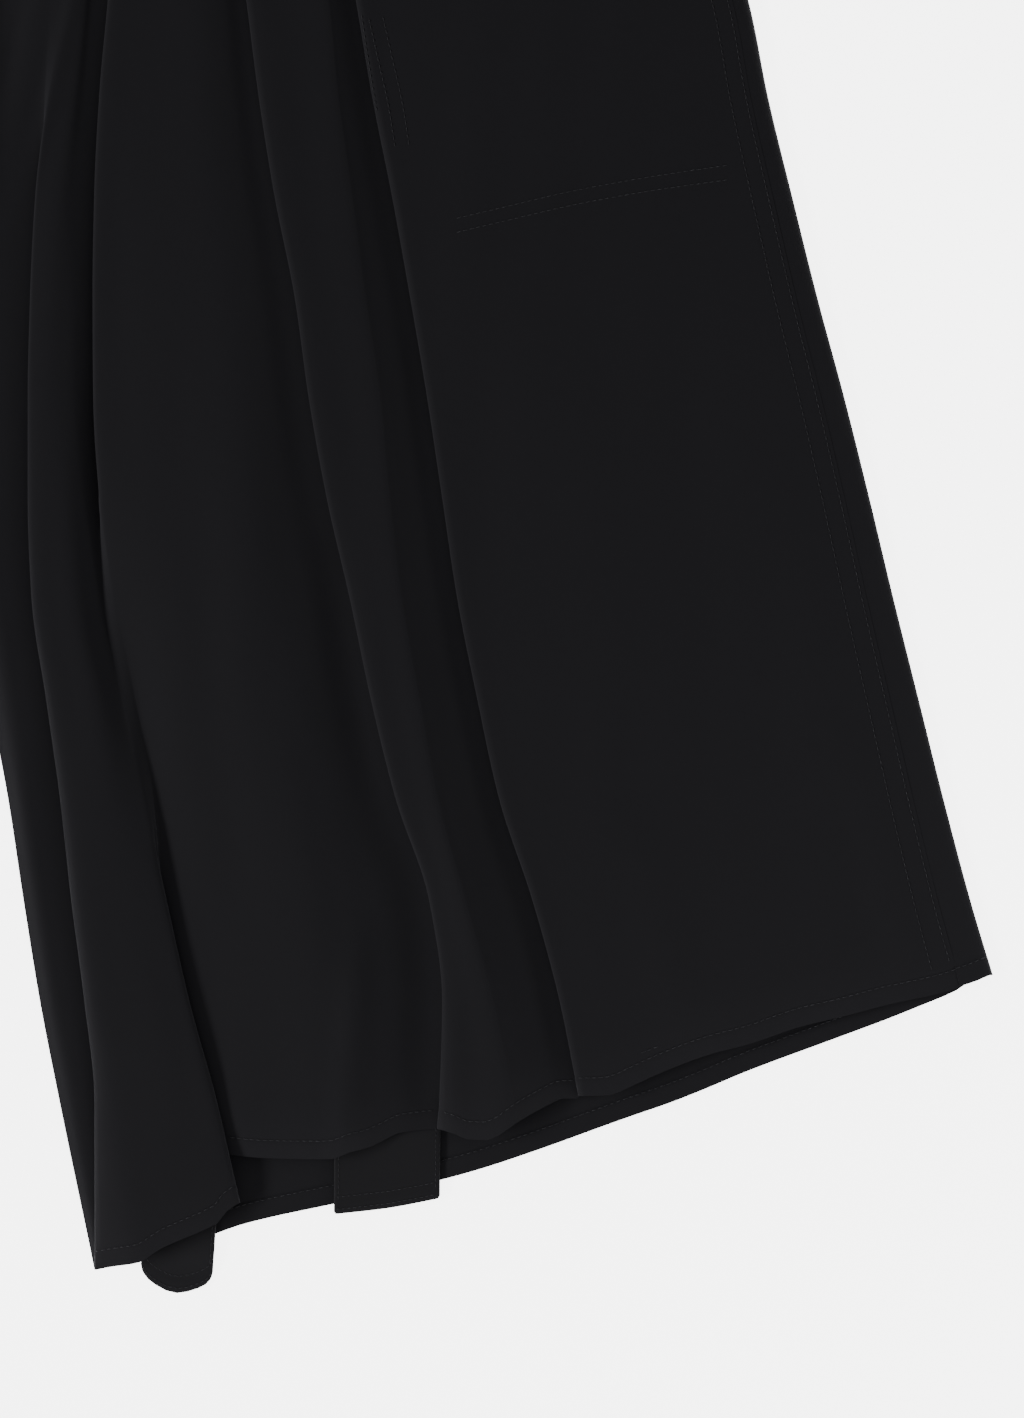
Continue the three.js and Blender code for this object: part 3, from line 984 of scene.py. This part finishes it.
        hidden = short_of(depth)
        hidden[:, 1] -= 4 * t
        return {
            "seam": seam,
            "edge": edge,
            "outer": self.rising(seam, edge, 0.3, seam[:, 2], 0.42),
            "middle": self.rising(seam, edge, 0.55, seam[:, 2], 0.68),
            "inner": short_of(depth + 9, edge[:, 2] - 0.7),
            "beside": short_of(8.0, edge[:, 2] - 0.1),
            "hidden": hidden,
        }

    def front_keys(self, t: np.ndarray) -> tuple[list[np.ndarray], dict[str, int]]:
        """The front's key points across the leg.

        Args:
            t: the shares of the way down.

        Returns:
            The points, and where each named group of them starts.
        """
        p = self.lines(t)
        panel = self.side_panel(p, t)
        edge = panel["edge"]
        room = self.layer + 1.1 * np.clip((self.pocket_share + 0.08 - t) / 0.08, 0, 1)
        hidden = panel["hidden"].copy()
        hidden[:, 2] = edge[:, 2] - room
        bottom = edge - np.stack([t * 0 + 1, 3 * t, edge[:, 2] - mix(5.3, 4.5, t)], axis=1)
        crease, second = p["second_crease"], p["second_edge"]
        slope = self.rising(bottom, crease, 0.46, bottom[:, 2], 0.36)
        shoulder = self.rising(bottom, crease, 0.92, bottom[:, 2], 0.89)
        reach = np.minimum(self.inner_depth, crease[:, 0] - second[:, 0] - 3)
        inner = second + np.stack([reach, -6 * t, t * 0 - self.layer], axis=1)
        middle = p["wide_middle"]
        floor = mix(5.7, 3.8, ease((t - 0.35) / 0.4))
        under = self.between(second, middle, 0.08, floor)
        fallen = self.rising(second, middle, mix(0.3, 0.42, t), floor, 0.42)
        face = self.rising(second, middle, 0.66, floor, 0.85)
        flank = p["roll_left"].copy()
        flank[:, 0] += ROLL_FLANK(flank[:, 1])
        flank[:, 2] = mix(flank[:, 2], p["roll_crown"][:, 2], 0.75)
        keys: list[np.ndarray] = []
        marks: dict[str, int] = {}

        def add(name: str, *points: np.ndarray) -> None:
            """Adds key points and notes where they start."""
            marks[name] = len(keys)
            keys.extend(points)

        add("seam", panel["seam"], panel["outer"], panel["middle"], panel["inner"], panel["beside"])
        add("outer_fold", *self.fold(edge, 1, -room))
        add("outer_hidden", *self.fold(hidden, -1, -self.layer))
        add("bottom", bottom, slope, shoulder)
        add("crease", crease, self.between(crease, second, 0.5))
        add("second_fold", *self.fold(second, 1, -self.layer))
        add("inner_hidden", *self.fold(inner, -1, -self.layer))
        add("wide", under, fallen, face, middle, p["wide_left"])
        add("valley", *self.overlap(p["valley_panel"], p["valley_roll"]))
        add("roll", p["roll_right"], p["roll_crown"], flank)
        add("roll_fold", *self.overlap(p["roll_left"], p["inner_valley"]))
        add("inner", p["inner_flank"], p["inner_roll"], p["inner_edge"])
        return keys, marks

    def rows(self) -> np.ndarray:
        """The shares of the way down for the rows, closer together at the hem."""
        return np.concatenate([np.linspace(0, 0.984, 150), np.linspace(0.985, 1, 14)])

    def spread(self, keys: list[np.ndarray], step: float) -> tuple[np.ndarray, np.ndarray]:
        """Fills in the places between key points.

        Args:
            keys: the key points.
            step: about how far apart the places are.

        Returns:
            The grid, and the column of each key point.
        """
        points = np.stack(keys, axis=1)
        lengths = np.linalg.norm(np.diff(points, axis=1), axis=2).max(axis=0)
        counts = [int(np.clip(math.ceil(length / step), 2, 12)) for length in lengths]
        return centripetal(points, counts), np.concatenate([[0], np.cumsum(counts)])

    def settle(self, grid: np.ndarray, t: np.ndarray, waist: Callable[[np.ndarray], np.ndarray]) -> None:
        """Moves a panel's top row onto the waist seam's curve, a move that fades towards the hem.

        Args:
            grid: the panel's places, changed in place.
            t: the shares of the way down of its rows.
            waist: the waist seam's drop at each x.
        """
        moves = waist(grid[0, :, 0]) - self.tucked - grid[0, :, 1]
        grid[:, :, 1] += (1 - t)[:, None] * moves

    def trim(self, grid: np.ndarray, t: np.ndarray, first: int, last: int, hem: Run) -> None:
        """Brings a part of the hem onto its line, a move that fades upwards.

        Args:
            grid: the panel's places, changed in place.
            t: the shares of the way down of its rows.
            first: the part's first column.
            last: the first column after it.
            hem: the hem's drop at each x.
        """
        fade = ease((t - 0.72) / 0.28)[:, None]
        aim = hem(grid[-1, first:last, 0]) - grid[-1, first:last, 1]
        grid[:, first:last, 1] += fade * aim

    def place(self, grid: np.ndarray) -> np.ndarray:
        """Turns x, drop and z into the frame's x, y and z, mirrored for the right leg."""
        return np.stack([grid[..., 0] * self.side.value, self.top_y - grid[..., 1], grid[..., 2]], axis=-1)

    def front(self) -> Sheet:
        """Lays out the pleated front, from the side seam to the inside leg.

        Returns:
            Its cloth.
        """
        t = self.rows()
        keys, marks = self.front_keys(t)
        grid, columns = self.spread(keys, 5.5)
        self.settle(grid, t, front_waist)
        mark = {name: int(columns[k]) for name, k in marks.items()}
        self.trim(grid, t, 0, mark["outer_fold"] + 2, HEMS["side_panel"])
        self.trim(grid, t, mark["bottom"], mark["second_fold"] + 2, HEMS["second_panel"])
        self.trim(grid, t, mark["wide"], mark["valley"] + 2, HEMS["wide_panel"])
        self.trim(grid, t, mark["roll"] - 2, mark["roll_fold"] + 2, HEMS["roll"])
        x, drop = grid[..., 0], grid[..., 1]
        lift = sum(crease.lift(x, drop) for crease in self.creases)
        lift = lift + 0.22 * soft_noise(x, drop, self.seed)
        lift *= ease((drop + 40) / 120) * ease((FOLDS["side"].down(t)[:, :1] - x - 4) / 40)
        grid[..., 2] += lift
        above = from_hem(grid)
        grid[..., 2] -= 1.6 * np.clip(1 - above / 26, 0, 1) ** 2 * ease((grid[..., 2] - 3.4) / 3)
        turned = ease((self.hem_turning - above) / 1.2)
        sewn = bump(above, self.hem_turning - HEM_STITCH, 0.9)
        seam = bump(np.arange(grid.shape[1]), 0, 3.0)[None, :]
        upper = 0.14 * turned - 0.09 * sewn - 0.02 * seam
        return Sheet(self.place(grid), self.cloth, upper, 0.25 * turned)

    def back(self) -> Sheet:
        """Lays out the flat back, from the side seam round the side fold to the inside leg.

        Returns:
            Its cloth.
        """
        t = self.rows()
        lines = self.lines(t)
        side, inner = lines["side"], lines["inner_edge"]
        level = np.zeros_like(t)
        inset = self.seam_inset(t)
        z = side[:, 2]

        def round_fold(inward: Number, lower: Number, height: Number) -> np.ndarray:
            """Key points at a distance in from the side fold and down along it, at one height."""
            return np.stack([side[:, 0] - inward, side[:, 1] + lower, height + level], axis=1)

        keys = [
            round_fold(inset + 0.8, SIDE_SLIP * t, z + (SIDE_RISE * inset - 0.06)),
            round_fold(inset * 0.5, 2.7 * t, z + 0.03 * inset),
            round_fold(1.4, 0, z - 0.6),
            round_fold(0, 0, (z + BACK_LEVEL) / 2 - 0.3),
            round_fold(1.4, 0, BACK_LEVEL + 0.15),
            round_fold(6, 0, BACK_LEVEL),
        ]
        for share in np.linspace(0.04, 1, 25):
            top = back_waist(mix(HALF_WAIST, FOLDS["inner_edge"].x[0], share))
            hem = BACK_HEM(np.array([mix(FOLDS["side"].x[-1], FOLDS["inner_edge"].x[-1], share)]))
            x = mix(side[:, 0], inner[:, 0], share)
            keys.append(np.stack([x, mix(top, hem, t), level + BACK_LEVEL], axis=1))
        grid, _ = self.spread(keys, 9)
        self.settle(grid, t, lambda x: np.where(x < HALF_WAIST - 4, back_waist(x), front_waist(x)))
        above = from_hem(grid)
        turned = ease((self.hem_turning - above) / 0.9)
        sewn = bump(above, self.hem_turning - HEM_STITCH, 0.9)
        grid[..., 2] += 0.12 * turned
        return Sheet(self.place(grid), self.cloth, 0.14 * turned - 0.03 * sewn, 0.05 * turned)

    def pocket(self) -> Sheet:
        """Lays out the pocket bag, which hangs from the waist seam close under the side panel.

        Returns:
            Its cloth.
        """
        t = np.linspace(0, self.pocket_share, 46)
        panel = self.side_panel(self.lines(t), t)
        below = self.cloth / 2 + 0.35 + self.pocket_cloth / 2
        first = self.between(panel["seam"], panel["outer"], 0.16)
        keys = [first, panel["outer"], panel["middle"], panel["inner"], panel["beside"]]
        grid, _ = self.spread([key.copy() for key in keys], 9)
        self.settle(grid, t, front_waist)
        grid[..., 2] -= below
        return Sheet(self.place(grid), self.pocket_cloth)

    def flat_path(self, points: Sequence[tuple[float, float]]) -> np.ndarray:
        """A smooth line on the garment.

        Args:
            points: x and drop of the places that it runs through.

        Returns:
            Its points.
        """
        places = np.array([[(x, drop, 0) for x, drop in points]], float)
        grid = centripetal(places, [12] * (len(points) - 1))
        return self.place(grid)[0]

    def side_path(self, waist: float, hem: float) -> np.ndarray:
        """A line of topstitching beside the side seam.

        Args:
            waist: its distance in from the side fold at the waist.
            hem: the same at the hem.

        Returns:
            Its points.
        """
        t = np.linspace(0.002, 0.985, 60)
        line = FOLDS["side"].down(t)
        reach = mix(waist, hem, t)
        drop = line[:, 1] + 0.35 * reach * t
        return self.place(np.stack([line[:, 0] - reach, drop, line[:, 2] * 0], axis=1))

    def build(self) -> list[bpy.types.Object]:
        """Makes the leg's pieces, declares their flat sizes and sews their stitches.

        Returns:
            The new pieces.
        """
        front, back, pocket = self.front(), self.back(), self.pocket()
        side = self.side.word
        front_piece = front.piece(f"front_{side}_cloth", SHELL, Layer.SHELL)
        back_piece = back.piece(f"back_{side}_cloth", SHELL, Layer.SHELL)
        pocket_piece = pocket.piece(f"pocket_{side}_cloth", POCKETING, Layer.POCKET)
        stitching = Stitching([front_piece, back_piece])
        for reaches in SIDE_ROWS:
            stitching.row(self.side_path(*reaches))
        for line in POCKET_OUTLINE:
            stitching.row(self.flat_path(line))
        for sheet in (front, back):
            stitching.row(sheet.along_hem(self.hem_turning - HEM_STITCH), near=True)
        stitches = stitching.piece(f"stitches_{side}", Layer.SHELL)
        for piece, node in ((front_piece, "front"), (back_piece, "back"), (pocket_piece, "pocket")):
            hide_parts(f"{node}_{side}")
        under = [f"back_{side}_cloth"]
        declare(front, front_piece, rests_on=under)
        declare(back, back_piece)
        declare(pocket, pocket_piece, rests_on=under)
        return [front_piece, back_piece, pocket_piece, stitches]


@dataclass
class Tie:
    """A doubled flat tie that lies on the back panel, with its free end below the hems.

    Attributes:
        name: its node's name.
        side: the wearer's side.
        width: across it.
        start: x of its middle at the waist.
        end: x of its middle at the free end.
        drops: of the free end's edge at its inner corner, middle and outer corner.
        round: how far its corners are rounded.
        lowered: how far its end has come down from the back panel to the surface, from 0 to 1.
        top_y: the frame's y at drop 0.
        thick: its thickness.
        heights: of its middle on the back panel and on the surface.
        side_sewn: from the second column of points in to the side's stitching.
        end_sewn: from its end up to the rows of stitching across it.
    """

    name: str
    side: Side
    width: float
    start: float
    end: float
    drops: tuple[float, float, float]
    round: float
    lowered: float
    top_y: float = 0.0
    thick: float = 1.15
    heights: tuple[float, float] = (2.0, 0.75)
    side_sewn: float = 1.4
    end_sewn: tuple[float, float] = (2.4, 8.5)

    def sheet(self) -> Sheet:
        """Lays out the tie, rounded at its end's corners and pressed in along the stitches.

        Returns:
            Its cloth.
        """
        half = (0.15, 0.3, 0.4, 0.46, 0.485, 0.5)
        share = np.array([*(-place for place in half[::-1]), 0, *half])
        t = np.concatenate([np.linspace(0, 0.962, 60), np.linspace(0.965, 1, 24)])
        middle = mix(self.start, self.end, t)
        x = middle[:, None] + share * self.width
        top = back_waist(self.start + share * self.width)
        end = Run((-0.5, 0, 0.5), self.drops)(share)
        near = np.clip(self.round - (0.5 - np.abs(share)) * self.width, 0, self.round)
        end = end - (self.round - np.sqrt(np.maximum(self.round**2 - near**2, 0)))
        drop = mix(top[None, :], end[None, :], t[:, None])
        down = ease((drop - (end.max() - 24)) / 16) * self.lowered
        z = mix(*self.heights, down)
        wave = 0.12 * np.sin(drop / 7.0 + share * 3) * ease((drop - 790) / 30)
        grid = np.stack([x * self.side.value, self.top_y - drop, z + wave], axis=-1)
        above = from_hem(grid)
        edge = np.minimum((0.5 - np.abs(share))[None, :] * self.width, above)
        pressed = bump(edge, self.end_sewn[0], 0.6) + bump(above, self.end_sewn[1], 0.6)
        thin = -0.3 * (1 - ease(edge / 0.8)) - 0.12 * pressed
        return Sheet(grid, self.thick, thin, thin * 0.5)

    def build(self) -> list[bpy.types.Object]:
        """Makes the tie and its edge stitching.

        Returns:
            The new pieces.
        """
        sheet = self.sheet()
        tie = sheet.piece(f"{self.name}_cloth", TAPE, Layer.TIE)
        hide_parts(self.name)
        stitching = Stitching([tie], length=2.1, gap=0.7, radius=0.17)
        for column, inward in ((1, 1), (-2, -1)):
            line = sheet.grid[::2, column].copy()
            line[:, 0] += inward * self.side.value * self.side_sewn
            stitching.row(line[:-1])
        for above in self.end_sewn:
            stitching.row(sheet.along_hem(above)[1:-1])
        stitches = stitching.piece(f"stitches_{self.name}", Layer.TIE)
        declare(sheet, tie, rests_on=[f"back_{self.side.word}_cloth"], row=0)
        return [tie, stitches]


@dataclass
class Waistband:
    """A folded band of cloth along a waist seam, closed at its top by its fold.

    Attributes:
        name: its node's name.
        seam: the drop of its waist seam at x.
        profile: the height of its middle at each distance from the garment's centre line.
        top_y: the frame's y at drop 0.
        thick: its thickness.
    """

    name: str
    seam: Callable[[np.ndarray], np.ndarray]
    profile: Run
    top_y: float = 0.0
    thick: float = 2.0

    def sheet(self) -> Sheet:
        """Lays out the band, rounded at its edges and pressed in along the stitches.

        Returns:
            Its cloth.
        """
        x = np.linspace(-HALF_WAIST, HALF_WAIST, 181)
        rim = np.array([0, 0.8, 1.6])
        middle = np.linspace(BAND_SEWN, BAND_HEIGHT - BAND_SEWN, 15)
        down = np.concatenate([rim, middle, BAND_HEIGHT - rim[::-1]])[:, None]
        y = self.top_y - self.seam(x) + SEAM_GAP + BAND_HEIGHT - down
        level = np.zeros_like(y)
        grid = np.stack([x + level, y, self.profile(np.abs(x)) + level], axis=-1)
        edge = np.minimum(down, BAND_HEIGHT - down)
        worn = 1 - np.sqrt(np.clip(edge / 1.6, 0, 1))
        ripple = soft_noise(grid[..., 0], grid[..., 1], 91)
        upper = 0.08 * ripple - 0.55 * worn - 0.18 * bump(edge, BAND_SEWN, 0.9)
        return Sheet(grid, self.thick, upper, -0.3 * worn)

    def build(self) -> list[bpy.types.Object]:
        """Makes the band and its topstitching.

        Returns:
            The new pieces.
        """
        sheet = self.sheet()
        band = sheet.piece(f"{self.name}_cloth", BAND, Layer.BAND)
        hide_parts(self.name)
        stitching = Stitching([band])
        for row in (-4, 3):
            stitching.row(sheet.grid[row, 1:-1])
        stitches = stitching.piece(f"stitches_{self.name}", Layer.BAND)
        declare(sheet, band)
        return [band, stitches]


@dataclass
class Studio:
    """A pale table top, a low soft light from one side and a view straight down.

    Attributes:
        centre: x and y of the middle of the view, in millimetres.
        height: how much of the table the view is tall, in millimetres.
        sensor: the camera's sensor, in millimetres.
        distance: from the camera to the table, in metres.
        reach: from the table top's middle to its edges, in metres.
        below: from the garment down to the table top, in metres.
        glow: how strongly the table top is lit by itself, so that it shows no shadow.
        room: the strength of the light from all sides.
    """

    centre: tuple[float, float]
    height: float = 709.0
    sensor: float = 36.0
    distance: float = 3.0
    reach: float = 15.0
    below: float = 0.0004
    glow: float = 5.0
    room: float = 0.43

    def camera(self) -> None:
        """Sets the camera straight above the view's middle."""
        data = bpy.data.cameras.new("camera")
        data.sensor_fit = "VERTICAL"
        data.sensor_height = self.sensor
        data.sensor_width = self.sensor
        data.lens = self.sensor * self.distance / (self.height * MM)
        camera = bpy.data.objects.new("camera", data)
        camera.location = (self.centre[0] * MM, self.centre[1] * MM, self.distance)
        bpy.context.scene.collection.objects.link(camera)
        bpy.context.scene.camera = camera

    def floor(self) -> None:
        """Lays the pale table top."""
        mesh = bpy.data.meshes.new("table_top")
        signs = ((-1, -1), (1, -1), (1, 1), (-1, 1))
        corners = [(x * self.reach, y * self.reach, -self.below) for x, y in signs]
        mesh.from_pydata(corners, [], [(0, 1, 2, 3)])
        material = bpy.data.materials.new("white_table")
        nodes = Nodes(material)
        surface = nodes.add("ShaderNodeBsdfPrincipled", None, {
            "Base Color": (0.93, 0.93, 0.93, 1.0),
            "Roughness": 0.9,
            "Specular IOR Level": 0.1,
            "Emission Color": WHITE,
            "Emission Strength": self.glow,
        })
        nodes.add("ShaderNodeOutputMaterial", None, {"Surface": surface.link("BSDF")})
        mesh.materials.append(material)
        table = bpy.data.objects.new("table_top", mesh)
        bpy.context.scene.collection.objects.link(table)

    def lamp(
        self, name: str, place: tuple[float, float, float], size: tuple[float, float], watts: float
    ) -> None:
        """Adds a soft rectangular light that faces the middle of the view.

        Args:
            name: its name.
            place: its middle, in metres.
            size: its width and height, in metres.
            watts: its power.
        """
        data = bpy.data.lights.new(name, "AREA")
        data.shape = "RECTANGLE"
        data.size, data.size_y = size
        data.energy = watts
        lamp = bpy.data.objects.new(name, data)
        lamp.location = place
        aim = Vector((self.centre[0] * MM, self.centre[1] * MM, 0)) - Vector(place)
        lamp.rotation_euler = aim.to_track_quat("-Z", "Y").to_euler()
        bpy.context.scene.collection.objects.link(lamp)

    def lights(self) -> None:
        """Sets the key light low on the left, two weak ones at the hem and the right, and a pale room."""
        x, y = (c * MM for c in self.centre)
        self.lamp("key_light", (x - 3.6, y - 0.9, 1.45), (2.6, 0.6), 156.0)
        self.lamp("hem_light", (x + 0.1, y - 0.85, 0.17), (1.5, 0.16), 3.3)
        self.lamp("side_light", (x + 0.6, y - 0.16, 0.13), (1.3, 0.12), 2.0)
        world = bpy.data.worlds.new("room")
        world.use_nodes = True
        background = world.node_tree.nodes["Background"]
        background.inputs["Color"].default_value = WHITE
        background.inputs["Strength"].default_value = self.room
        bpy.context.scene.world = world


def main() -> None:
    """Builds the studio and the garment in order, and logs each piece's number of faces."""
    logging.basicConfig(level=logging.INFO, format="%(message)s")
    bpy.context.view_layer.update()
    _, band_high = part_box("waistband_back")
    top_y = band_high[1] / MM - BACK_RISE - SEAM_GAP - BAND_HEIGHT - TOP_MARGIN
    view_x, view_drop = VIEW_MIDDLE
    studio = Studio((view_x, top_y - view_drop))
    studio.camera()
    studio.floor()
    studio.lights()
    legs = (
        Leg(Side.LEFT, LEFT_CREASES, 3, top_y=top_y),
        Leg(Side.RIGHT, RIGHT_CREASES, 8, pleats=-7, valley=6, roll_height=0.86, top_y=top_y),
    )
    bands = (
        Waistband("waistband_back", back_waist, Run((0, HALF_WAIST), (1.2, 1.25)), top_y),
        Waistband(
            "waistband_front",
            front_waist,
            Run((0, 60, 92, 114, 160, 205, HALF_WAIST), (6.2, 6.4, 7.0, 8.8, 9.2, 7.6, 5.0)),
            top_y,
        ),
    )
    ties = (
        Tie("tie_back_left", Side.LEFT, 53, 233, 228.5, (817, 814, 809), 1.5, 0, top_y),
        Tie("tie_front_left", Side.LEFT, 36, 186, 123.5, (848, 856.5, 851.5), 6, 1, top_y),
        Tie("tie_back_right", Side.RIGHT, 53, 233, 214, (822, 820, 816), 1.5, 0, top_y),
        Tie("tie_front_right", Side.RIGHT, 36, 186, 132, (844, 849, 846), 6, 0.6, top_y),
    )
    for part in (*legs, *bands, *ties):
        for piece in part.build():
            LOG.info("%s: %d faces", piece.name, len(piece.data.polygons))


if __name__ == "__main__":
    main()
